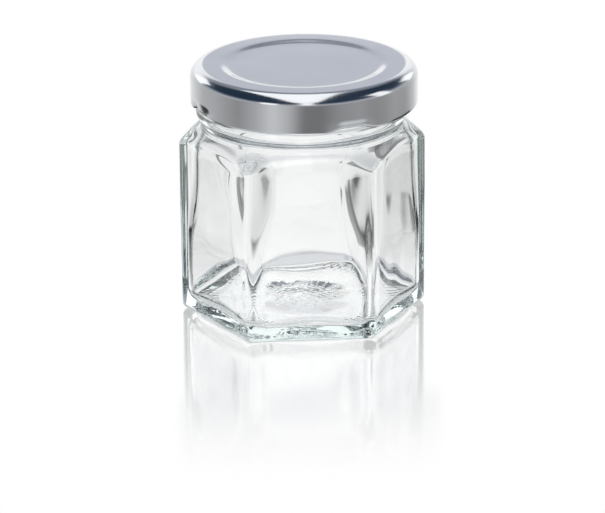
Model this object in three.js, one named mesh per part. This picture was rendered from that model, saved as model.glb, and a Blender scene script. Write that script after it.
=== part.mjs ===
// A small hexagonal glass jar, empty and closed by a round twist-off lid of pressed tinplate.
// Millimetres, +Z up. The origin is the middle of the base, on the surface that the jar stands on.
// Two corners of the hexagon lie on the X axis, so that one flat face of the jar looks along -Y.
import * as THREE from "three";

// Driving dimensions of the glass
const ACROSS_FLATS = 43.6;
const CORNER_RADIUS = 2.2; // of the six upright edges, outside
const WALL = 2.1; // in the middle of a flat face
const INNER_CORNER_RADIUS = 4.6; // the cavity's corners are much rounder than the outside
const HEEL_RADIUS = 1.6; // where a face turns under
const BEARING_HALF_FLATS = 17.6; // inner edge of the band that the jar stands on
const BEARING_CORNER_RADIUS = 9;
const PUSH_UP = 0.4; // how far the underside rises from that band inwards
const DOME_RADIUS = 10.5; // of the shallow dome in the middle of the underside
const DOME_HEIGHT = 0.95;
const JAR_HEIGHT = 50.9;
const NECK_RADIUS = 20.4; // between the shoulder and the bead
const NECK_FOOT = 38.95; // where the shoulder starts to spread from the neck
const SHOULDER_SPREAD = 1.58; // radius gained for each millimetre down the shoulder
const SHOULDER_BLEND = 1.6; // rounding where the shoulder meets the faces
const BODY_TOP = 35.0; // above it the faces start to turn into the shoulder
const BEAD_RADIUS = 21.3; // the carrying ring under the lid
const BEAD_MIDDLE = 42.0;
const BEAD_HALF_HEIGHT = 1.3;
const FINISH_RADIUS = 20.2; // the round mouth inside the lid
const RIM_RADIUS = 1.1; // rounding of the mouth's top edge
const MOUTH_RADIUS = 17.9; // bore of the mouth
const CAVITY_NECK_FOOT = 38.2; // where the cavity starts to spread from the bore
const CAVITY_SPREAD = 1.2;
const CAVITY_BLEND = 3.0;
const CAVITY_TOP = 33.0;
const FLOOR = 2.4; // the cavity's floor at its edge
const FLOOR_RISE = 0.5; // and how much higher the floor is at its middle
const FILLET_AT_FACE = 3.4; // between floor and wall: more glass stays at the middle of a face
const FILLET_AT_CORNER = 2.2; // than in a corner

// Driving dimensions of the lid
const LID_TOP = 51.6;
const LID_RADIUS = 22.8;
const LID_FOOT = 43.6;
const LID_SHEET = 0.4; // the tinplate with its lacquer
const LID_SHOULDER_WIDTH = 2.8; // the shoulder is a quarter of an ellipse
const LID_SHOULDER_HEIGHT = 2.4;
const PANEL_DROP = 0.5; // the middle panel lies this much lower than the ring round it
const PANEL_RADIUS = 14.7;
const STEP_RADIUS = 17.1; // where the slope up from the panel reaches the ring
const CURL_RADIUS = 0.55; // of the rolled lower edge
const LUG_COUNT = 4;
const FIRST_LUG_DEGREES = -69;
const LUG_HALF_WIDTH_DEGREES = 15;
const LUG_LIFT = 0.65; // the rolled edge is pressed up and in at each lug
const LUG_PRESS = 0.5;
const LUG_REACH = 3.2; // height over which the pressing fades out
const LID_PLAY = 0.45; // the lid sits this far off the axis, towards +X

// How finely the skins are divided
const HALF_SECTOR_DEGREES = [0, 0.9, 2.0, 3.4, 7, 13, 20]; // from a corner towards a face's middle
const LID_SIDES = 64;
const FACES = 6;
const SECTOR_DEGREES = 360 / FACES;
const HALF_FLATS = ACROSS_FLATS / 2;

const radians = THREE.MathUtils.degToRad;
const lerp = THREE.MathUtils.lerp;

// Numbers from first to last, both included, in equal steps.
function steps(first, last, count) {
  return Array.from({ length: count + 1 }, (_, i) => lerp(first, last, i / count));
}

// The smaller of two radii, with a rounding of the given width where they are alike.
function roundedMin(a, b, width) {
  const near = Math.max(width - Math.abs(a - b), 0) / width;
  return Math.min(a, b) - (near * near * width) / 4;
}

// Angle from the nearest corner of the hexagon, from 0 to 30 degrees, in radians.
function fromCorner(angle) {
  const sector = radians(SECTOR_DEGREES);
  const within = ((angle % sector) + sector) % sector;
  return Math.min(within, sector - within);
}

// Distance from the axis to the outline of a hexagon with rounded corners.
function hexagonRadius(angle, halfFlats, cornerRadius) {
  const phi = fromCorner(angle);
  const half = radians(SECTOR_DEGREES / 2);
  const arcCentre = (halfFlats - cornerRadius) / Math.cos(half);
  const tangent = Math.atan2(cornerRadius * Math.sin(half), arcCentre + cornerRadius * Math.cos(half));
  if (phi >= tangent) return halfFlats / Math.cos(half - phi);
  const across = arcCentre * Math.sin(phi);
  return arcCentre * Math.cos(phi) + Math.sqrt(cornerRadius ** 2 - across ** 2);
}

// The directions round the jar, close together at the corners.
function jarAngles() {
  const half = HALF_SECTOR_DEGREES;
  const sector = [...half, SECTOR_DEGREES / 2, ...half.slice(1).reverse().map((d) => SECTOR_DEGREES - d)];
  return Array.from({ length: FACES }, (_, face) =>
    sector.map((d) => radians(face * SECTOR_DEGREES + d)),
  ).flat();
}

// One ring of points: radiusAt(angle) and heightAt(angle) round the axis.
function ring(angles, radiusAt, heightAt) {
  return angles.map((a) => {
    const r = radiusAt(a);
    return new THREE.Vector3(r * Math.cos(a), r * Math.sin(a), heightAt(a));
  });
}

const circle = (angles, r, z) => ring(angles, () => r, () => z);

// A closed skin through rings of equal length, from a point on the axis to another one.
function skin(first, rings, last) {
  const points = [first, ...rings.flat(), last];
  const around = rings[0].length;
  const index = [];
  const at = (row, i) => 1 + row * around + (i % around);
  for (let i = 0; i < around; i++) {
    index.push(0, at(0, i + 1), at(0, i));
    for (let row = 0; row + 1 < rings.length; row++) {
      index.push(at(row, i), at(row, i + 1), at(row + 1, i + 1));
      index.push(at(row, i), at(row + 1, i + 1), at(row + 1, i));
    }
    index.push(at(rings.length - 1, i), at(rings.length - 1, i + 1), points.length - 1);
  }
  const geometry = new THREE.BufferGeometry().setFromPoints(points);
  geometry.setIndex(index);
  geometry.computeVertexNormals();
  return geometry;
}

// The underside: a shallow dome inside the flat band that the jar stands on, then the rounded heel.
function undersideRings(angles) {
  const bearing = (a) => hexagonRadius(a, BEARING_HALF_FLATS, BEARING_CORNER_RADIUS);
  const dome = (share) =>
    DOME_HEIGHT * Math.max(1 - ((share * BEARING_HALF_FLATS) / DOME_RADIUS) ** 2, 0) ** 2;
  const domeRing = (share) =>
    ring(
      angles,
      (a) => share * lerp(BEARING_HALF_FLATS, bearing(a), share),
      () => PUSH_UP * (1 - share ** 2) + dome(share),
    );
  const heelRing = (turn) => {
    const inset = HEEL_RADIUS * (1 - Math.sin(turn));
    const corner = Math.max(CORNER_RADIUS - inset, 0.4);
    return ring(
      angles,
      (a) => hexagonRadius(a, HALF_FLATS - inset, corner),
      () => HEEL_RADIUS * (1 - Math.cos(turn)),
    );
  };
  return [
    ...[0.17, 0.34, 0.48, 0.6, 1].map(domeRing),
    ...steps(0, Math.PI / 2, 4).map(heelRing),
  ];
}

// The six faces and the shoulder: the hexagon cut by a cone that spreads down from the neck.
function faceAndShoulderRings(angles) {
  const cone = (z) => NECK_RADIUS + SHOULDER_SPREAD * (NECK_FOOT - z);
  const ringAt = (z) =>
    ring(
      angles,
      (a) => roundedMin(hexagonRadius(a, HALF_FLATS, CORNER_RADIUS), cone(z), SHOULDER_BLEND),
      () => z,
    );
  return [...steps(BODY_TOP, NECK_FOOT, 8).map(ringAt)];
}

// The carrying bead, the round mouth and its rolled top edge.
function neckAndMouthRings(angles) {
  const bead = steps(-Math.PI / 2, Math.PI / 2, 5).map((turn) =>
    circle(
      angles,
      NECK_RADIUS + (BEAD_RADIUS - NECK_RADIUS) * Math.cos(turn),
      BEAD_MIDDLE + BEAD_HALF_HEIGHT * Math.sin(turn),
    ),
  );
  const rim = steps(0, Math.PI / 2, 2).map((turn) =>
    circle(
      angles,
      FINISH_RADIUS - RIM_RADIUS * (1 - Math.cos(turn)),
      JAR_HEIGHT - RIM_RADIUS * (1 - Math.sin(turn)),
    ),
  );
  const bore = [
    circle(angles, MOUTH_RADIUS + RIM_RADIUS / 3, JAR_HEIGHT - RIM_RADIUS / 3),
    circle(angles, MOUTH_RADIUS, JAR_HEIGHT - RIM_RADIUS),
  ];
  return [...bead, circle(angles, FINISH_RADIUS, BEAD_MIDDLE + 1.2 * BEAD_HALF_HEIGHT), ...rim, ...bore];
}

// The cavity, from the bore down to its floor, with more glass at the middle of each face's foot.
function cavityRings(angles) {
  const cavityFlats = HALF_FLATS - WALL;
  const cone = (z) => MOUTH_RADIUS + CAVITY_SPREAD * (CAVITY_NECK_FOOT - z);
  const wall = (a) => hexagonRadius(a, cavityFlats, INNER_CORNER_RADIUS);
  const ringAt = (z) => ring(angles, (a) => roundedMin(wall(a), cone(z), CAVITY_BLEND), () => z);
  const fillet = (a) =>
    lerp(FILLET_AT_CORNER, FILLET_AT_FACE, (1 - Math.cos(FACES * a)) / 2);
  const filletRing = (turn) =>
    ring(
      angles,
      (a) => wall(a) - fillet(a) * (1 - Math.cos(turn)),
      (a) => FLOOR + fillet(a) * (1 - Math.sin(turn)),
    );
  const floorRing = (share) =>
    ring(
      angles,
      (a) => share * (wall(a) - fillet(a)),
      () => FLOOR + FLOOR_RISE * (1 - share ** 2),
    );
  return [
    ...steps(CAVITY_NECK_FOOT, CAVITY_TOP, 6).map(ringAt),
    ...steps(0, Math.PI / 2, 4).map(filletRing),
    ...[0.66, 0.33].map(floorRing),
  ];
}

function glassJar() {
  const angles = jarAngles();
  const rings = [
    ...undersideRings(angles),
    ...faceAndShoulderRings(angles),
    ...neckAndMouthRings(angles),
    ...cavityRings(angles),
  ];
  return skin(
    new THREE.Vector3(0, 0, PUSH_UP + DOME_HEIGHT),
    rings,
    new THREE.Vector3(0, 0, FLOOR + FLOOR_RISE),
  );
}

// How strongly a direction is pressed in by the nearest lug, from 0 to 1.
function lugPress(angle) {
  const pitch = 360 / LUG_COUNT;
  const degrees = THREE.MathUtils.radToDeg(angle) - FIRST_LUG_DEGREES;
  const off = ((degrees % pitch) + pitch) % pitch;
  const away = Math.min(off, pitch - off) / LUG_HALF_WIDTH_DEGREES;
  return away >= 1 ? 0 : 1 - THREE.MathUtils.smoothstep(away, 0.35, 1);
}

// A ring of the lid, pressed up and in at the lugs, the more so the nearer it is to the lid's foot.
function lidRing(angles, r, z) {
  const fade = THREE.MathUtils.clamp(1 - (z - LID_FOOT) / LUG_REACH, 0, 1);
  const press = (a) => lugPress(a) * fade * fade * (3 - 2 * fade);
  return ring(angles, (a) => r - LUG_PRESS * press(a), (a) => z + LUG_LIFT * press(a));
}

// The outside of the lid from its middle to the rolled edge, then back along the inside.
function lid() {
  const angles = steps(0, 2 * Math.PI, LID_SIDES).slice(0, LID_SIDES);
  const panelTop = LID_TOP - PANEL_DROP;
  const slope = (share) => PANEL_DROP * THREE.MathUtils.smoothstep(share, 0, 1);
  const shoulder = LID_RADIUS - LID_SHOULDER_WIDTH;
  const shoulderFoot = LID_TOP - LID_SHOULDER_HEIGHT;
  const curlTop = LID_FOOT + 2 * CURL_RADIUS;
  const shoulderArc = (inset, turns) =>
    steps(Math.PI / 2, 0, turns).map((turn) => [
      shoulder + (LID_SHOULDER_WIDTH - inset) * Math.cos(turn),
      shoulderFoot + (LID_SHOULDER_HEIGHT - inset) * Math.sin(turn),
    ]);
  const curl = steps(0, Math.PI, 5).map((turn) => [
    LID_RADIUS - CURL_RADIUS * (1 - Math.cos(turn)),
    LID_FOOT + CURL_RADIUS * (1 - Math.sin(turn)),
  ]);
  const outside = [
    ...[0, 0.25, 0.5, 0.75, 1].map((share) => [
      lerp(PANEL_RADIUS, STEP_RADIUS, share),
      panelTop + slope(share),
    ]),
    ...shoulderArc(0, 6),
    ...[0.66, 0.33].map((share) => [LID_RADIUS, lerp(LID_FOOT, shoulderFoot, share)]),
    ...curl,
  ];
  const inside = [
    [LID_RADIUS - LID_SHEET, curlTop],
    ...shoulderArc(LID_SHEET, 4).reverse(),
    ...[1, 0.5, 0].map((share) => [
      lerp(PANEL_RADIUS, STEP_RADIUS, share),
      panelTop + slope(share) - LID_SHEET,
    ]),
  ];
  // From the underside's middle out and back over the top, so that the faces point outwards.
  const profile = [...inside.reverse(), ...outside.reverse()];
  const pressed = skin(
    new THREE.Vector3(0, 0, panelTop - LID_SHEET),
    profile.map(([r, z]) => lidRing(angles, r, z)),
    new THREE.Vector3(0, 0, panelTop),
  );
  return pressed.translate(LID_PLAY, 0, 0);
}

function piece(name, geometry, material) {
  const mesh = new THREE.Mesh(geometry, new THREE.MeshStandardMaterial(material));
  mesh.name = name;
  return mesh;
}

const jar = new THREE.Group();
jar.add(
  piece("glass_jar", glassJar(), { color: 0xe6efec, roughness: 0.03, metalness: 0, transparent: true, opacity: 0.35 }),
  piece("lid", lid(), { color: 0xc3c7cc, roughness: 0.18, metalness: 1 }),
);

export default jar;
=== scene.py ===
# %% [markdown]
# # A small hexagonal glass jar with a twist-off lid
#
# The jar is a thick-walled, six-sided jar of clear glass, closed by a round lid of pressed tinplate.
# Its sizes are already settled in the frame that this scene loads, so here we only give the two
# pieces their finer shape and their finish. Every length below is in metres, written as
# millimetres times MM, and the origin is the middle of the base, on the table.

import math

import bpy
import numpy as np
from mathutils import Matrix


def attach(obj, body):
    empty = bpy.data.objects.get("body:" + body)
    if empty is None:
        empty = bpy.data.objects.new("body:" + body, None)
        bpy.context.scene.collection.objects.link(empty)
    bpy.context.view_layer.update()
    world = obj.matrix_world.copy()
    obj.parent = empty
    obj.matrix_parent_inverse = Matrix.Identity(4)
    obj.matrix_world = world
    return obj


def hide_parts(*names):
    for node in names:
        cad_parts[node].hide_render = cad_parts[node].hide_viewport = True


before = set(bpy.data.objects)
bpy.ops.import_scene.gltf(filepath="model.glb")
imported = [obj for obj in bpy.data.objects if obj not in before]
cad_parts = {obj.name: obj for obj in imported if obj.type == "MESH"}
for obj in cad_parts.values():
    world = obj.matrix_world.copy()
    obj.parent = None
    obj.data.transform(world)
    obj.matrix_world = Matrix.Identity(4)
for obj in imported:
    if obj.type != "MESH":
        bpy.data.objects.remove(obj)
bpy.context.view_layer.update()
MM = 0.001

# %% [markdown]
# ## The camera
#
# A small object photographed from over half a metre away shows little perspective, so the lens is
# long. The camera stands a little to the left of the front face's middle and looks down on the lid.
# It aims below the jar, which leaves room in the picture for the reflection on the table. We could
# shift the lens instead, but a shift would stay on in every other view.

# %% Camera
CAMERA_DISTANCE = 650 * MM
CAMERA_TARGET = (-0.16 * MM, 0.0, 26 * MM)
CAMERA_STAND = math.radians(-94.0)  # direction of the camera from the jar, seen from above
CAMERA_RISE = math.radians(19.0)
CAMERA_TILT = math.radians(20.3)  # how far the lens looks down
CAMERA_ROLL = math.radians(-0.5)  # the photographer held it a little off level
SENSOR = 36.0
LENS = 190.9

camera_data = bpy.data.cameras.new("photo_camera")
camera_data.sensor_width = SENSOR
camera_data.lens = LENS
camera_data.clip_start = 10 * MM
camera_data.clip_end = 20.0
camera = bpy.data.objects.new("photo_camera", camera_data)
bpy.context.scene.collection.objects.link(camera)
level = CAMERA_DISTANCE * math.cos(CAMERA_RISE)
camera.location = (
    CAMERA_TARGET[0] + level * math.cos(CAMERA_STAND),
    CAMERA_TARGET[1] + level * math.sin(CAMERA_STAND),
    CAMERA_TARGET[2] + CAMERA_DISTANCE * math.sin(CAMERA_RISE),
)
heading = Matrix.Rotation(CAMERA_STAND + math.pi / 2, 3, "Z")
tilt = Matrix.Rotation(math.pi / 2 - CAMERA_TILT, 3, "X")
camera.rotation_euler = (heading @ tilt @ Matrix.Rotation(CAMERA_ROLL, 3, "Z")).to_euler()
bpy.context.scene.camera = camera
print("camera at", [round(v, 3) for v in camera.location])

# %% [markdown]
# ## Two helpers for surfaces
#
# Both pieces are closed skins: a grid of points, with one row for each ring round the axis, and one
# point on the axis at each end. We could revolve a profile with a Screw modifier, but the jar's
# section changes from a hexagon to a circle on its way up, so each ring is worked out as a whole
# array of radii instead.


# %% Closed skins
def closed_skin(name, radius, height, turn):
    """A mesh from arrays of radius and height, one row per ring, one column per direction in turn.

    A point is (radius cos turn, radius sin turn, height). The first and last rows are single points
    on the axis. The rows run so that the faces between them point outwards.
    """
    rows, around = radius.shape
    points = np.stack([radius * np.cos(turn), radius * np.sin(turn), height], axis=-1)
    inner = points[1:-1].reshape(-1, 3)
    corners = np.vstack([points[:1, 0], inner, points[-1:, 0]])
    column = np.arange(around)
    after = (column + 1) % around
    row_start = 1 + np.arange(rows - 3)[:, None] * around
    quads = np.stack(
        [row_start + column, row_start + after, row_start + around + after, row_start + around + column],
        axis=-1,
    ).reshape(-1, 4)
    last_ring = 1 + (rows - 3) * around
    first_fan = np.stack([np.zeros(around, int), 1 + after, 1 + column], axis=-1)
    last_fan = np.stack([last_ring + column, last_ring + after, np.full(around, len(corners) - 1)], axis=-1)
    mesh = bpy.data.meshes.new(name)
    mesh.from_pydata(corners, [], first_fan.tolist() + quads.tolist() + last_fan.tolist())
    mesh.polygons.foreach_set("use_smooth", np.ones(len(mesh.polygons), bool))
    mesh.update()
    piece = bpy.data.objects.new(name, mesh)
    bpy.context.scene.collection.objects.link(piece)
    print(name, "has", len(corners), "points and", 2 * len(quads) + 2 * around, "triangles")
    return piece


def blend(first, last, share):
    """The value share of the way from first to last."""
    return first + (last - first) * share


def soft_step(share):
    """0 below 0 and 1 above 1, with the curve 3 s squared minus 2 s cubed between them."""
    s = np.clip(share, 0.0, 1.0)
    return s * s * (3 - 2 * s)


def rounded_min(a, b, width):
    """The smaller of a and b, lowered by a quarter of width where they are equal, which rounds the join."""
    near = np.maximum(width - np.abs(a - b), 0) / width
    return np.minimum(a, b) - near * near * width / 4


# %% [markdown]
# ## The glass jar
#
# Glass jars of this size are pressed and then blown in an iron mould. The outside takes the mould's
# sharp shape, while the inside forms freely: its corners are much rounder, so the glass is thickest
# in the six corners and at the foot. That uneven thickness is what draws the dark upright lines and
# the wavy reflections in clear glass, so the cavity here has its own shape and its own slow waves.

# %% The jar's sizes
FACES = 6
SECTOR = 2 * math.pi / FACES
HALF_FLATS = 21.8 * MM
CORNER_RADIUS = 2.2 * MM
WALL = 2.1 * MM
INNER_CORNER_RADIUS = 4.6 * MM
INNER_CORNER_AT_TOP = 8.0 * MM
WALL_AT_TOP = 2.5 * MM
CORNER_SWELL = 0.55 * MM  # extra glass inside a corner near the shoulder
THICKEST_CORNER = 4 * SECTOR  # direction of the corner with the most glass
SWELL_START = 14 * MM  # height above which a corner begins to thicken
HEEL_RADIUS = 1.6 * MM
BEARING_HALF_FLATS = 17.6 * MM
BEARING_CORNER_RADIUS = 9 * MM
PUSH_UP = 0.4 * MM
DOME_RADIUS = 10.5 * MM
DOME_HEIGHT = 0.95 * MM
JAR_HEIGHT = 50.9 * MM
NECK_RADIUS = 20.4 * MM
NECK_FOOT = 38.95 * MM
SHOULDER_SPREAD = 1.58
SHOULDER_BLEND = 1.6 * MM
BODY_TOP = 35.0 * MM
BEAD_RADIUS = 21.3 * MM
BEAD_MIDDLE = 42.0 * MM
BEAD_HALF_HEIGHT = 1.3 * MM
FINISH_RADIUS = 20.2 * MM
RIM_RADIUS = 1.1 * MM
MOUTH_RADIUS = 17.9 * MM
CAVITY_NECK_FOOT = 38.2 * MM
CAVITY_SPREAD = 1.2
CAVITY_BLEND = 3.0 * MM
CAVITY_TOP = 33.0 * MM
FLOOR = 2.4 * MM
FLOOR_RISE = 0.5 * MM
FILLET_AT_FACE = 3.4 * MM
FILLET_AT_CORNER = 2.2 * MM

STIPPLE_HEIGHT = 0.10 * MM
STIPPLE_PITCH = 1.1 * MM
STIPPLE_BEND = 0.5 * MM  # how far the stipple's rows wander
STIPPLE_RADIUS = 7.0 * MM
RIB_HEIGHT = 0.20 * MM
RIB_COUNT = 72
RIB_START = 0.86  # share of the way out where the ribs begin
RIB_RISE, RIB_FALL = 0.06, 0.02  # shares over which they rise, and fall at the bearing edge
SHARPEST_HEEL = 0.4 * MM

UNDERSIDE_ROWS = 90
FACE_ROWS = 22
SHOULDER_ROWS = 34
CAVITY_ROWS = 26
COLUMNS_PER_HALF_FACE = 20
CORNER_CROWDING = 1.6  # above 1, the columns stand closer together near a corner


# %% Directions round the jar and the outline of a hexagon
def jar_directions():
    """Angles round the axis, crowded towards each corner: 30 degrees times a share to a power."""
    half = SECTOR / 2 * np.linspace(0, 1, COLUMNS_PER_HALF_FACE + 1) ** CORNER_CROWDING
    sector = np.concatenate([half, SECTOR - half[-2:0:-1]])
    return (np.arange(FACES)[:, None] * SECTOR + sector).ravel()


def hexagon(turn, half_flats, corner_radius):
    """Radius of a rounded hexagon: a straight face, or the arc round a corner's centre nearer to it."""
    within = np.mod(turn, SECTOR)
    off_corner = np.minimum(within, SECTOR - within)
    half = SECTOR / 2
    arc_centre = (half_flats - corner_radius) / math.cos(half)
    tangent = np.arctan2(corner_radius * math.sin(half), arc_centre + corner_radius * math.cos(half))
    face = half_flats / np.cos(half - off_corner)
    across = arc_centre * np.sin(off_corner)
    arc = arc_centre * np.cos(off_corner) + np.sqrt(np.maximum(corner_radius**2 - across**2, 0))
    return np.where(off_corner >= tangent, face, arc)


TURN = jar_directions()
print(len(TURN), "directions round the jar")


# %% Rings of the outside, from the middle of the underside up to the rim
def rings(radius, height):
    """A list of (radius row, height row) as two arrays of the same shape."""
    shape = np.broadcast_shapes(np.shape(radius), np.shape(height), (1, len(TURN)))
    return np.broadcast_to(radius, shape), np.broadcast_to(height, shape)


def underside():
    """The underside rises by PUSH_UP from the bearing edge inwards, and has a dome in its middle.

    The dome's height falls as the square of one minus the squared share of its radius. A stipple of
    uneven bumps lies on the dome, where two crossing waves of the plane peak together, and ribs lie on
    the bearing edge, as moulds leave them for grip.
    """
    share = np.linspace(0, 1, UNDERSIDE_ROWS)[:, None]
    bearing = hexagon(TURN, BEARING_HALF_FLATS, BEARING_CORNER_RADIUS)
    radius = share * blend(BEARING_HALF_FLATS, bearing, share)
    dome = DOME_HEIGHT * np.maximum(1 - (radius / DOME_RADIUS) ** 2, 0) ** 2
    x, y = radius * np.cos(TURN), radius * np.sin(TURN)
    wave = math.pi / STIPPLE_PITCH
    bend_x = STIPPLE_BEND * np.sin(y / MM * 1.3 + 0.4)
    bend_y = STIPPLE_BEND * np.sin(x / MM * 1.1 + 1.7)
    peaks = np.sin((x + bend_x) * wave) * np.sin((y + bend_y) * wave * 0.87)
    stipple = STIPPLE_HEIGHT * soft_step((peaks - 0.25) / 0.5) * soft_step((STIPPLE_RADIUS - radius) / MM)
    ribs = RIB_HEIGHT * (0.5 + 0.5 * np.cos(RIB_COUNT * TURN)) * soft_step((share - RIB_START) / RIB_RISE)
    ribs = ribs * soft_step((1 - share) / RIB_FALL)
    return rings(radius, PUSH_UP * (1 - share**2) + dome - stipple + ribs)


def heel():
    """A quarter turn of HEEL_RADIUS that carries the flat bearing band into the six faces."""
    turn = np.linspace(0, math.pi / 2, 12)[:, None]
    inset = HEEL_RADIUS * (1 - np.sin(turn))
    corner = np.maximum(CORNER_RADIUS - inset, SHARPEST_HEEL)
    return rings(hexagon(TURN, HALF_FLATS - inset, corner), HEEL_RADIUS * (1 - np.cos(turn)))


def faces_and_shoulder():
    """The hexagon cut by a cone that spreads SHOULDER_SPREAD for each unit down from the neck."""
    faces = np.linspace(HEEL_RADIUS, BODY_TOP, FACE_ROWS)[1:-1]
    z = np.concatenate([faces, np.linspace(BODY_TOP, NECK_FOOT, SHOULDER_ROWS)])[:, None]
    cone = NECK_RADIUS + SHOULDER_SPREAD * (NECK_FOOT - z)
    return rings(rounded_min(hexagon(TURN, HALF_FLATS, CORNER_RADIUS), cone, SHOULDER_BLEND), z)


def neck_and_mouth():
    """The bead is half an ellipse; the rim and the bore's edge are quarter circles."""
    turn = np.linspace(-math.pi / 2, math.pi / 2, 18)[:, None]
    bead = (
        NECK_RADIUS + (BEAD_RADIUS - NECK_RADIUS) * np.cos(turn),
        BEAD_MIDDLE + BEAD_HALF_HEIGHT * np.sin(turn),
    )
    top = np.linspace(0, math.pi / 2, 9)[:, None]
    rim = (FINISH_RADIUS - RIM_RADIUS * (1 - np.cos(top)), JAR_HEIGHT - RIM_RADIUS * (1 - np.sin(top)))
    edge = RIM_RADIUS / 2
    bore = (MOUTH_RADIUS + edge * (1 - np.sin(top)), JAR_HEIGHT - edge * (1 - np.cos(top)))
    neck = (np.full((1, 1), FINISH_RADIUS), np.full((1, 1), BEAD_MIDDLE + 1.2 * BEAD_HALF_HEIGHT))
    parts = [rings(*part) for part in (bead, neck, rim, bore)]
    return np.vstack([p[0] for p in parts]), np.vstack([p[1] for p in parts])


# %% [markdown]
# ### The cavity
#
# Air pressure forms the inside, so nothing there is sharp. We could offset the outside by an even
# wall, but then every ray would leave the glass as it came in and the jar would look empty of glass.
# Rounder inner corners, with more glass in some of them than in others, bend the view behind the
# jar into the dark upright streaks that the eye reads as thick glass.


# %% Rings of the cavity, from the bore down to the middle of its floor
def cavity():
    """The inner hexagon cut by a cone under the neck, a fillet, and a floor that rises in the middle.

    The wall thickens and its corners get rounder towards the shoulder, as the section turns from a
    hexagon to a circle. No jar is even, so the extra glass in the corners differs from one to the next.
    The fillet between wall and floor is an ellipse whose size swings between its value at a corner
    and its value at the middle of a face, as one minus the cosine of six times the direction.
    """
    wall = hexagon(TURN, HALF_FLATS - WALL, INNER_CORNER_RADIUS)
    facing = np.cos(TURN - THICKEST_CORNER)
    uneven = 1 + 0.8 * facing + 0.7 * np.maximum(facing, 0) ** 6
    swell = CORNER_SWELL * np.maximum(np.cos(FACES * TURN), 0) ** 3 * uneven
    top_wall = hexagon(TURN, HALF_FLATS - WALL_AT_TOP, INNER_CORNER_AT_TOP) - swell
    fillet = blend(FILLET_AT_CORNER, FILLET_AT_FACE, (1 - np.cos(FACES * TURN)) / 2)
    z = np.linspace(CAVITY_NECK_FOOT, CAVITY_TOP, CAVITY_ROWS)[:, None]
    cone = MOUTH_RADIUS + CAVITY_SPREAD * (CAVITY_NECK_FOOT - z)
    shoulder = rings(rounded_min(top_wall, cone, CAVITY_BLEND), z)
    share = np.linspace(0, 1, CAVITY_ROWS)[1:-1, None]
    foot_of_wall = FLOOR + fillet
    side_height = blend(CAVITY_TOP, foot_of_wall, share)
    towards_top = soft_step((side_height - SWELL_START) / (CAVITY_TOP - SWELL_START))
    sides = rings(blend(wall, top_wall, towards_top), side_height)
    turn = np.linspace(0, math.pi / 2, 16)[:, None]
    rounding = rings(wall - fillet * (1 - np.cos(turn)), FLOOR + fillet * (1 - np.sin(turn)))
    inward = np.linspace(1, 0, 24)[1:, None]
    floor = rings(inward * (wall - fillet), FLOOR + FLOOR_RISE * (1 - inward**2))
    parts = [shoulder, sides, rounding, floor]
    return np.vstack([p[0] for p in parts]), np.vstack([p[1] for p in parts])


# %% Slow waves of blown glass
INNER_WAVE = 0.09 * MM
FLOOR_WAVE = 0.22 * MM


def waves(x, y, z):
    """Slow uneven swelling between -1 and 1: sines that cross at different angles.

    The numbers before x, y and z are radians for each metre, and the ones added are their starts.
    """
    return (
        np.sin(310 * x + 190 * z + 0.7) * np.sin(260 * y - 140 * z + 1.9)
        + 0.5 * np.sin(520 * z + 240 * x + 2.4)
        + 0.4 * np.sin(700 * y + 430 * x + 0.3)
    ) / 1.9


# %% Join the rings and make the jar
outside = [underside(), heel(), faces_and_shoulder(), neck_and_mouth()]
outer_rows = sum(part[0].shape[0] for part in outside)
inside_radius, inside_height = cavity()
radius = np.vstack([part[0] for part in outside] + [inside_radius])
height = np.vstack([part[1] for part in outside] + [inside_height])
swelling = waves(radius * np.cos(TURN), radius * np.sin(TURN), height)
is_inside = (np.arange(len(radius)) >= outer_rows)[:, None]
# The waves fade out towards the neck, and pass from the wall to the floor round the fillet.
on_wall = soft_step((height - FLOOR - 2 * MM) / (6 * MM)) * soft_step((40 * MM - height) / (6 * MM))
on_floor = 1 - soft_step((height - FLOOR - 1 * MM) / (5 * MM))
to_axis = soft_step(radius / (4 * MM))
radius = radius + is_inside * on_wall * INNER_WAVE * swelling
height = height + is_inside * on_floor * to_axis * FLOOR_WAVE * swelling
glass_jar = closed_skin("clear_glass_jar", radius, height, TURN)

# %% [markdown]
# ## The lid
#
# The lid is pressed from thin tinplate: a flat ring, a middle panel one step lower, a rounded
# shoulder, a straight skirt and a rolled lower edge. Where the jar's threads grip, four short
# stretches of that edge are pressed inwards and upwards. A revolved profile gives everything but
# those lugs, so each ring is moved a little by how near its direction is to a lug.

# %% The lid's sizes
LID_TOP = 51.6 * MM
LID_RADIUS = 22.8 * MM
LID_FOOT = 43.6 * MM
LID_SHEET = 0.4 * MM
LID_SHOULDER_WIDTH = 2.8 * MM
LID_SHOULDER_HEIGHT = 2.4 * MM
PANEL_DROP = 0.5 * MM
PANEL_RADIUS = 14.7 * MM
STEP_RADIUS = 17.1 * MM
CURL_RADIUS = 0.55 * MM
LUG_COUNT = 4
FIRST_LUG = math.radians(-69)
LUG_HALF_WIDTH = math.radians(15)
LUG_LIFT = 0.65 * MM
LUG_PRESS = 0.5 * MM
LUG_REACH = 3.2 * MM
LID_PLAY = 0.45 * MM  # the lid sits this far off the axis, towards +X
LID_DIRECTIONS = 240


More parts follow.
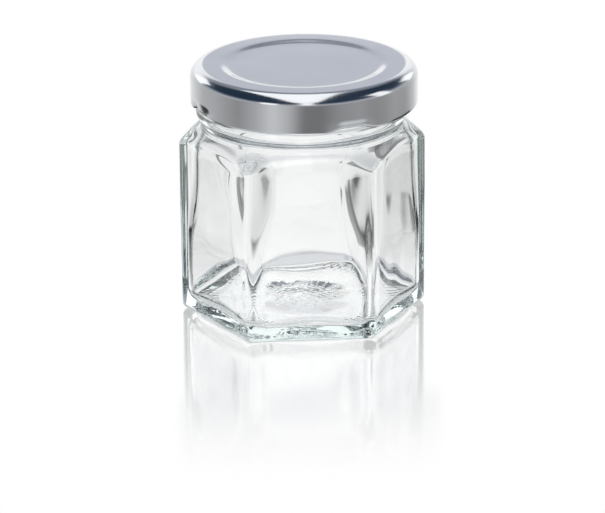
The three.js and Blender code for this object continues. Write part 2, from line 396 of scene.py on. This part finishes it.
# %% The lid's profile and its lugs
def lid_profile():
    """Radius and height of the section, from the underside's middle outwards and back over the top.

    The shoulder is a quarter of an ellipse, wider than it is high, and the sheet's inner side follows
    it at LID_SHEET. The rolled edge is half a circle.
    """
    panel_top = LID_TOP - PANEL_DROP
    share = np.linspace(0, 1, 15)
    step_radius = blend(PANEL_RADIUS, STEP_RADIUS, share)
    step_rise = PANEL_DROP * soft_step(share)
    shoulder = LID_RADIUS - LID_SHOULDER_WIDTH
    shoulder_foot = LID_TOP - LID_SHOULDER_HEIGHT
    fall = np.linspace(math.pi / 2, 0, 22)
    rise = fall[::-1]
    roll = np.linspace(0, math.pi, 11)
    panel = PANEL_RADIUS * np.linspace(0, 1, 8)[:-1]
    flat = blend(STEP_RADIUS, shoulder, np.linspace(0, 1, 6)[1:-1])
    skirt = blend(shoulder_foot, LID_FOOT + CURL_RADIUS, np.linspace(0, 1, 14)[1:-1])
    top_side = [
        (panel, np.full(len(panel), panel_top)),
        (step_radius, panel_top + step_rise),
        (flat, np.full(len(flat), LID_TOP)),
        (shoulder + LID_SHOULDER_WIDTH * np.cos(fall), shoulder_foot + LID_SHOULDER_HEIGHT * np.sin(fall)),
        (np.full(len(skirt), LID_RADIUS), skirt),
        (LID_RADIUS - CURL_RADIUS * (1 - np.cos(roll)), LID_FOOT + CURL_RADIUS * (1 - np.sin(roll))),
    ]
    inner_width, inner_height = LID_SHOULDER_WIDTH - LID_SHEET, LID_SHOULDER_HEIGHT - LID_SHEET
    under_side = [
        (np.array([LID_RADIUS - LID_SHEET]), np.array([LID_FOOT + 2 * CURL_RADIUS])),
        (shoulder + inner_width * np.cos(rise), shoulder_foot + inner_height * np.sin(rise)),
        (step_radius[::-1], panel_top + step_rise[::-1] - LID_SHEET),
        (panel[::-1], np.full(len(panel), panel_top - LID_SHEET)),
    ]
    profile = np.concatenate([np.stack(part) for part in top_side + under_side], axis=1)[:, ::-1]
    return profile[0], profile[1]


def lug_press(turn):
    """1 at a lug's middle, falling to 0 at LUG_HALF_WIDTH on either side of it."""
    pitch = 2 * math.pi / LUG_COUNT
    off = np.mod(turn - FIRST_LUG, pitch)
    away = np.minimum(off, pitch - off) / LUG_HALF_WIDTH
    return 1 - soft_step((away - 0.35) / 0.65)


lid_turn = np.linspace(0, 2 * math.pi, LID_DIRECTIONS, endpoint=False)
profile_radius, profile_height = (row[:, None] for row in lid_profile())
near_foot = soft_step(1 - (profile_height - LID_FOOT) / LUG_REACH)
press = near_foot * lug_press(lid_turn)
pressed_radius = profile_radius - LUG_PRESS * press
pressed_height = profile_height + LUG_LIFT * press
lid = closed_skin("tinplate_lid", pressed_radius, pressed_height, lid_turn)
lid.data.transform(Matrix.Translation((LID_PLAY, 0.0, 0.0)))

# %% [markdown]
# ## Finishes
#
# Two helpers keep the node trees short. Every pattern reads Object coordinates, which are the same
# metres as the sizes above, so a pattern's scale is a real one and stays put on the piece.


# %% Helpers for node trees
def add_node(tree, kind, inputs=None, **settings):
    """Adds a node. inputs maps a socket to a plain value, or to another node's output to link from."""
    made = tree.nodes.new(kind)
    for name, value in settings.items():
        setattr(made, name, value)
    for socket, value in (inputs or {}).items():
        if isinstance(value, bpy.types.NodeSocket):
            tree.links.new(value, made.inputs[socket])
        else:
            made.inputs[socket].default_value = value
    return made


def new_material(name):
    """A material with an empty node tree and its output node."""
    material = bpy.data.materials.new(name)
    material.use_nodes = True
    material.node_tree.nodes.clear()
    return material, material.node_tree, add_node(material.node_tree, "ShaderNodeOutputMaterial")


def ramp(tree, factor, stops, interpolation="LINEAR"):
    """A Color Ramp over factor. stops is a list of (position, (red, green, blue))."""
    made = add_node(tree, "ShaderNodeValToRGB", {"Fac": factor})
    made.color_ramp.interpolation = interpolation
    elements = made.color_ramp.elements
    while len(elements) < len(stops):
        elements.new(0.5)
    for element, (position, colour) in zip(elements, stops):
        element.position = position
        element.color = (*colour, 1.0)
    return made.outputs["Color"]


# %% [markdown]
# ### Clear glass
#
# Flint glass hardly colours light in a thin wall, but the foot and the corners look grey-green,
# because light runs through a centimetre or more there. That belongs in the volume and not in the
# surface colour. The skin left by the mould is not quite flat either, so a very low, slow bump bends
# the reflections. We could use a thin film of colour instead, but it would tint every wall alike.

# %% Glass material
GLASS_INDEX = 1.52
GLASS_TINT = (0.70, 0.92, 0.89)
TINT_DENSITY = 11.0  # per metre of glass

glass, tree, output = new_material("clear_flint_glass")
place = add_node(tree, "ShaderNodeTexCoord").outputs["Object"]
slow = add_node(
    tree, "ShaderNodeTexNoise", {"Vector": place, "Scale": 120.0, "Detail": 1.0, "Roughness": 0.4}
)
bump = add_node(
    tree,
    "ShaderNodeBump",
    {"Height": slow.outputs["Fac"], "Strength": 0.25, "Distance": 0.05 * MM},
)
gloss = ramp(tree, slow.outputs["Fac"], [(0.35, (0.0,) * 3), (0.75, (0.02,) * 3)])
shader = add_node(
    tree,
    "ShaderNodeBsdfPrincipled",
    {
        "Base Color": (1.0, 1.0, 1.0, 1.0),
        "Roughness": gloss,
        "Transmission Weight": 1.0,
        "IOR": GLASS_INDEX,
        "Normal": bump.outputs["Normal"],
    },
)
volume = add_node(
    tree, "ShaderNodeVolumeAbsorption", {"Color": (*GLASS_TINT, 1.0), "Density": TINT_DENSITY}
)
tree.links.new(shader.outputs["BSDF"], output.inputs["Surface"])
tree.links.new(volume.outputs["Volume"], output.inputs["Volume"])
print(glass.name, "has an index of", GLASS_INDEX)

# %% [markdown]
# ### Lacquered tinplate
#
# The lid is bright metal under a clear lacquer. The lacquer smooths the reflections of the shoulder
# but leaves a faint orange peel, which shows as a slight unevenness in them.

# %% Lid material
TINPLATE = (0.78, 0.80, 0.83)

tinplate, tree, output = new_material("lacquered_tinplate")
place = add_node(tree, "ShaderNodeTexCoord").outputs["Object"]
peel = add_node(tree, "ShaderNodeTexNoise", {"Vector": place, "Scale": 900.0, "Detail": 2.0})
cloud = add_node(tree, "ShaderNodeTexNoise", {"Vector": place, "Scale": 90.0, "Detail": 3.0})
bump = add_node(
    tree,
    "ShaderNodeBump",
    {"Height": peel.outputs["Fac"], "Strength": 0.12, "Distance": 0.02 * MM},
)
gloss = ramp(tree, cloud.outputs["Fac"], [(0.3, (0.13,) * 3), (0.7, (0.19,) * 3)])
tone = ramp(tree, cloud.outputs["Fac"], [(0.3, tuple(0.96 * c for c in TINPLATE)), (0.7, TINPLATE)])
shader = add_node(
    tree,
    "ShaderNodeBsdfPrincipled",
    {
        "Base Color": tone,
        "Metallic": 1.0,
        "Roughness": gloss,
        "Coat Weight": 0.3,
        "Coat Roughness": 0.05,
        "Normal": bump.outputs["Normal"],
    },
)
tree.links.new(shader.outputs["BSDF"], output.inputs["Surface"])
print(tinplate.name, "is ready")

# %% [markdown]
# ### The pieces and the frame
#
# Each piece now takes the place of the plain solid of the same form, and moves with its body. The
# jar and its closed lid are one body, called root.

# %% Put the pieces in place of their plain solids
for piece, node, slot, material in (
    (glass_jar, "glass_jar", "clear_glass", glass),
    (lid, "lid", "silver_lid", tinplate),
):
    piece.data.materials.append(material)
    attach(piece, "root")
    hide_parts(node)
    print(piece.name, "stands for", node)

# %% [markdown]
# ## What stands round the jar
#
# Clear glass and polished metal show nothing but their surroundings, so the surroundings are the
# light. The table is lit round the jar and behind it. Towards the front it gets darker, most of all
# where the camera stands, and that is what the lid's upright skirt reflects. We could build the
# whole studio, but it is enough to say how bright it is in each direction round the jar: the table
# and the sky above it both take their light from the same list of directions.

# %% Light by direction round the jar
ROUND_THE_JAR = [
    # degrees from the front, to the left below 0 and to the right above it, and the brightness there
    (-180, 1.0), (-170, 0.97), (-158, 0.86), (-140, 0.72), (-120, 0.50), (-100, 0.46), (-70, 0.31),
    (-50, 0.46), (-34, 0.68), (-18, 0.50), (-5, 0.20), (12, 0.20), (28, 0.30), (50, 0.36), (64, 0.30),
    (78, 0.32), (92, 0.40), (112, 0.38), (132, 0.62), (146, 0.88), (165, 0.97), (180, 1.0),
]


def maths(tree, operation, *values):
    """One step of arithmetic on plain numbers or other nodes' outputs."""
    made = add_node(tree, "ShaderNodeMath", dict(enumerate(values)), operation=operation)
    return made.outputs["Value"]


def smooth_range(tree, value, start, end, low, high):
    """low before start and high after end, with a smooth step between them."""
    inputs = {"Value": value, "From Min": start, "From Max": end, "To Min": low, "To Max": high}
    return add_node(tree, "ShaderNodeMapRange", inputs, interpolation_type="SMOOTHSTEP").outputs["Result"]


def light_round(tree, x, y):
    """The brightness in the direction of (x, y) from the jar: the list above, joined by straight lines."""
    turn = maths(tree, "ARCTAN2", x, maths(tree, "MULTIPLY", y, -1.0))
    turns = maths(tree, "DIVIDE", turn, 2 * math.pi)
    stops = [(0.5 + degrees / 360, (bright,) * 3) for degrees, bright in ROUND_THE_JAR]
    return ramp(tree, maths(tree, "ADD", turns, 0.5), stops)


print(len(ROUND_THE_JAR), "directions in the list of light")

# %% [markdown]
# ## The table
#
# The jar stands on a glossy white table that fades into a white background. A table lit this
# brightly is white wherever the camera looks, so it is a glowing sheet, mixed with a mirror that
# gets weaker away from the jar, as the reflection in a polished acrylic sheet does. What the glass
# and the lid see of it is its true brightness, which falls off outside the lit circle. Dark cards
# lie on it behind the jar, to the left and right, and the thick corners of the glass bend them into
# view as dark streaks. Photographers of glass use black cards in the same way.

# %% The table's sheet
TABLE_HALF = 2.0
TABLE_DROP = 0.02 * MM  # the sheet lies this far under the jar, so that the two never touch

table_mesh = bpy.data.meshes.new("white_table")
table_corners = [(-1, -1), (1, -1), (1, 1), (-1, 1)]
table_points = [(TABLE_HALF * x, TABLE_HALF * y, 0.0) for x, y in table_corners]
table_mesh.from_pydata(table_points, [], [(0, 1, 2, 3)])
table = bpy.data.objects.new("white_table", table_mesh)
bpy.context.scene.collection.objects.link(table)
table.location.z = -TABLE_DROP
print(table.name, "is", 2 * TABLE_HALF, "metres wide")

# %% How bright the table is, and the dark cards on it
LIT_RADIUS = 50 * MM
LIT_EDGE = 80 * MM
UNDER_JAR = 1.0
DARK_CARDS = [
    # centre x and y, half the width and depth, and the brightness of a dark card on the table
    (82 * MM, 37 * MM, 42 * MM, 36 * MM, 0.03),
    (-58 * MM, 36 * MM, 27 * MM, 34 * MM, 0.03),
    (36 * MM, 62 * MM, 10 * MM, 17 * MM, 0.30),
]
CARD_SOFT_START, CARD_SOFT_END = 0.75, 1.12  # where a card's edge begins and ends, in half sizes


def card(tree, x, y, centre_x, centre_y, half_x, half_y, bright):
    """bright on a card that lies on the table there, 1 away from it, with soft edges."""
    off_x = maths(tree, "DIVIDE", maths(tree, "ABSOLUTE", maths(tree, "SUBTRACT", x, centre_x)), half_x)
    off_y = maths(tree, "DIVIDE", maths(tree, "ABSOLUTE", maths(tree, "SUBTRACT", y, centre_y)), half_y)
    off = maths(tree, "MAXIMUM", off_x, off_y)
    return smooth_range(tree, off, CARD_SOFT_START, CARD_SOFT_END, bright, 1.0)


print(len(DARK_CARDS), "dark cards on the table")

# %% Table material
MIRROR_NEAR = 0.50
MIRROR_ROUGHNESS = 0.09
MIRROR_FADE_START = 18 * MM
MIRROR_FADE_END = 92 * MM

acrylic, tree, output = new_material("white_acrylic_table")
place = add_node(tree, "ShaderNodeTexCoord").outputs["Object"]
from_axis = add_node(tree, "ShaderNodeVectorMath", {0: place}, operation="LENGTH").outputs["Value"]
apart = add_node(tree, "ShaderNodeSeparateXYZ", {0: place})
outside_circle = smooth_range(tree, from_axis, LIT_RADIUS, LIT_EDGE, 0.0, 1.0)
round_light = light_round(tree, apart.outputs["X"], apart.outputs["Y"])
true_light = add_node(
    tree,
    "ShaderNodeMix",
    {"Factor": outside_circle, "A": UNDER_JAR, "B": round_light},
).outputs["Result"]
for sizes in DARK_CARDS:
    shade = card(tree, apart.outputs["X"], apart.outputs["Y"], *sizes)
    true_light = maths(tree, "MULTIPLY", true_light, shade)
seen = add_node(tree, "ShaderNodeLightPath").outputs["Is Camera Ray"]
glow_light = maths(tree, "MAXIMUM", true_light, seen)
glow = add_node(tree, "ShaderNodeEmission", {"Color": (1.0, 1.0, 1.0, 1.0), "Strength": glow_light})
shine = add_node(
    tree, "ShaderNodeBsdfGlossy", {"Color": (1.0, 1.0, 1.0, 1.0), "Roughness": MIRROR_ROUGHNESS}
)
mirror = smooth_range(tree, from_axis, MIRROR_FADE_START, MIRROR_FADE_END, MIRROR_NEAR, 0.0)
both = add_node(
    tree, "ShaderNodeMixShader", {0: mirror, 1: glow.outputs["Emission"], 2: shine.outputs["BSDF"]}
)
tree.links.new(both.outputs["Shader"], output.inputs["Surface"])
table_mesh.materials.append(acrylic)
print(acrylic.name, "mirrors", MIRROR_NEAR, "of what stands on it")

# %% [markdown]
# ## The sky of the studio
#
# Low down the sky is as bright as the table in the same direction. Behind the jar it stays white for
# the first stretch above the horizon and is grey from there up. To the sides it soon gets almost
# black, with a little blue, for the dark bands on the lid's shoulder. The camera itself sees plain
# white behind the jar.

# %% Sky
BEHIND_BY_HEIGHT = [
    # sine of the height above the horizon, and the colour there behind the jar
    (0.0, (1.06, 1.06, 1.06)), (0.42, (1.06, 1.06, 1.06)), (0.47, (0.60, 0.62, 0.68)),
    (0.52, (0.24, 0.26, 0.30)), (1.0, (0.24, 0.26, 0.30)),
]
BESIDE_BY_HEIGHT = [
    (0.0, (0.5, 0.5, 0.5)), (0.26, (0.45, 0.46, 0.49)), (0.40, (0.12, 0.15, 0.20)),
    (0.50, (0.02, 0.035, 0.06)), (1.0, (0.02, 0.035, 0.06)),
]
BEHIND_EDGE = 0.80  # cosine of the angle from straight behind, past which the sky is that of the sides
BEHIND_FULL = 0.96  # and the cosine within which it is that of the back
LOW_SKY, HIGH_SKY = 0.02, 0.22  # sines between which the low sky turns into the high one
ABOVE_ONE = 1.0001  # keeps the length of a level direction above zero straight overhead

world = bpy.data.worlds.new("studio")
bpy.context.scene.world = world
world.use_nodes = True
tree = world.node_tree
tree.nodes.clear()
output = add_node(tree, "ShaderNodeOutputWorld")
direction = add_node(tree, "ShaderNodeTexCoord").outputs["Generated"]
way = add_node(tree, "ShaderNodeSeparateXYZ", {0: direction})
height_squared = maths(tree, "POWER", way.outputs["Z"], 2.0)
level_length = maths(tree, "SQRT", maths(tree, "SUBTRACT", ABOVE_ONE, height_squared))
backward = maths(tree, "DIVIDE", way.outputs["Y"], level_length)
behind = smooth_range(tree, backward, BEHIND_EDGE, BEHIND_FULL, 0.0, 1.0)
side_sky = ramp(tree, way.outputs["Z"], BESIDE_BY_HEIGHT)
back_sky = ramp(tree, way.outputs["Z"], BEHIND_BY_HEIGHT)
high = add_node(
    tree, "ShaderNodeMix", {"Factor": behind, 6: side_sky, 7: back_sky}, data_type="RGBA"
).outputs[2]
sky = add_node(
    tree,
    "ShaderNodeMix",
    {
        "Factor": smooth_range(tree, way.outputs["Z"], LOW_SKY, HIGH_SKY, 0.0, 1.0),
        6: light_round(tree, way.outputs["X"], way.outputs["Y"]),
        7: high,
    },
    data_type="RGBA",
).outputs[2]
studio = add_node(tree, "ShaderNodeBackground", {"Color": sky, "Strength": 1.0})
backdrop = add_node(tree, "ShaderNodeBackground", {"Color": (1.0, 1.0, 1.0, 1.0), "Strength": 1.0})
seen = add_node(tree, "ShaderNodeLightPath").outputs["Is Camera Ray"]
mixed = add_node(
    tree, "ShaderNodeMixShader", {0: seen, 1: studio.outputs["Background"], 2: backdrop.outputs["Background"]}
)
tree.links.new(mixed.outputs["Shader"], output.inputs["Surface"])
print(world.name, "has", len(tree.nodes), "nodes")

# %% [markdown]
# ## Soft boxes
#
# The lid's shoulder turns through a right angle, so it shows nearly the whole studio as thin bands.
# The box overhead is its white middle, and the boxes at the sides are its shorter highlights. They
# could be area lights, but a glowing sheet is simple to size and to place by what it shows in the
# metal. Each line gives a box's middle, what it faces, its width and depth in metres, and its strength.


# %% Soft boxes
def soft_box(name, centre, aim, width, depth, strength, colour=(1.0, 1.0, 1.0)):
    """A glowing rectangle at centre that faces aim. The camera doesn't see it, only its light."""
    centre, aim = np.array(centre), np.array(aim)
    facing = (aim - centre) / np.linalg.norm(aim - centre)
    side = np.cross(facing, (0.0, 1.0, 0.0) if abs(facing[2]) > 0.9 else (0.0, 0.0, 1.0))
    side /= np.linalg.norm(side)
    up = np.cross(side, facing)
    corners = [centre + a * side * width / 2 + b * up * depth / 2 for a, b in table_corners]
    mesh = bpy.data.meshes.new(name)
    mesh.from_pydata(np.array(corners), [], [(0, 1, 2, 3)])
    box = bpy.data.objects.new(name, mesh)
    bpy.context.scene.collection.objects.link(box)
    box.visible_camera = False
    material, tree, output = new_material(name + "_light")
    light = add_node(tree, "ShaderNodeEmission", {"Color": (*colour, 1.0), "Strength": strength})
    tree.links.new(light.outputs["Emission"], output.inputs["Surface"])
    mesh.materials.append(material)
    return box


JAR_MIDDLE = (0.0, 0.0, 0.05)
soft_box("overhead_box", (-0.03, -0.13, 0.75), (-0.03, -0.13, 0.0), 0.40, 1.35, 1.2)
soft_box("front_box", (-0.02, -0.85, 0.50), JAR_MIDDLE, 0.20, 0.42, 1.25)
soft_box("left_box", (-0.62, 0.82, 0.44), JAR_MIDDLE, 0.42, 0.42, 1.3)
soft_box("right_box", (0.72, 0.78, 0.42), JAR_MIDDLE, 0.36, 0.40, 1.3)
soft_box("low_left_box", (-0.57, -0.70, 0.30), JAR_MIDDLE, 0.27, 0.24, 1.25)
soft_box("low_right_box", (0.765, -0.094, 0.40), JAR_MIDDLE, 0.26, 0.50, 1.2)

# The grey card hangs close behind the jar, just high enough that only the lid's flat top reflects it.
soft_box("grey_card", (0.012, 0.15, 0.118), (0.012, 0.0, 0.118), 0.068, 0.068, 0.62, (0.92, 0.95, 1.05))

# %% [markdown]
# ## Light paths and colour
#
# A ray straight through the jar crosses four surfaces of glass, and one that wanders inside a thick
# corner or the foot crosses many more, so the limits on bounces are high. The Standard view keeps a
# pure white background white.

# %% Light paths and colour
scene = bpy.context.scene
scene.view_settings.view_transform = "Standard"
scene.cycles.max_bounces = 24
scene.cycles.transmission_bounces = 20
scene.cycles.glossy_bounces = 12
scene.cycles.diffuse_bounces = 2
scene.cycles.use_denoising = True
print("up to", scene.cycles.max_bounces, "bounces")
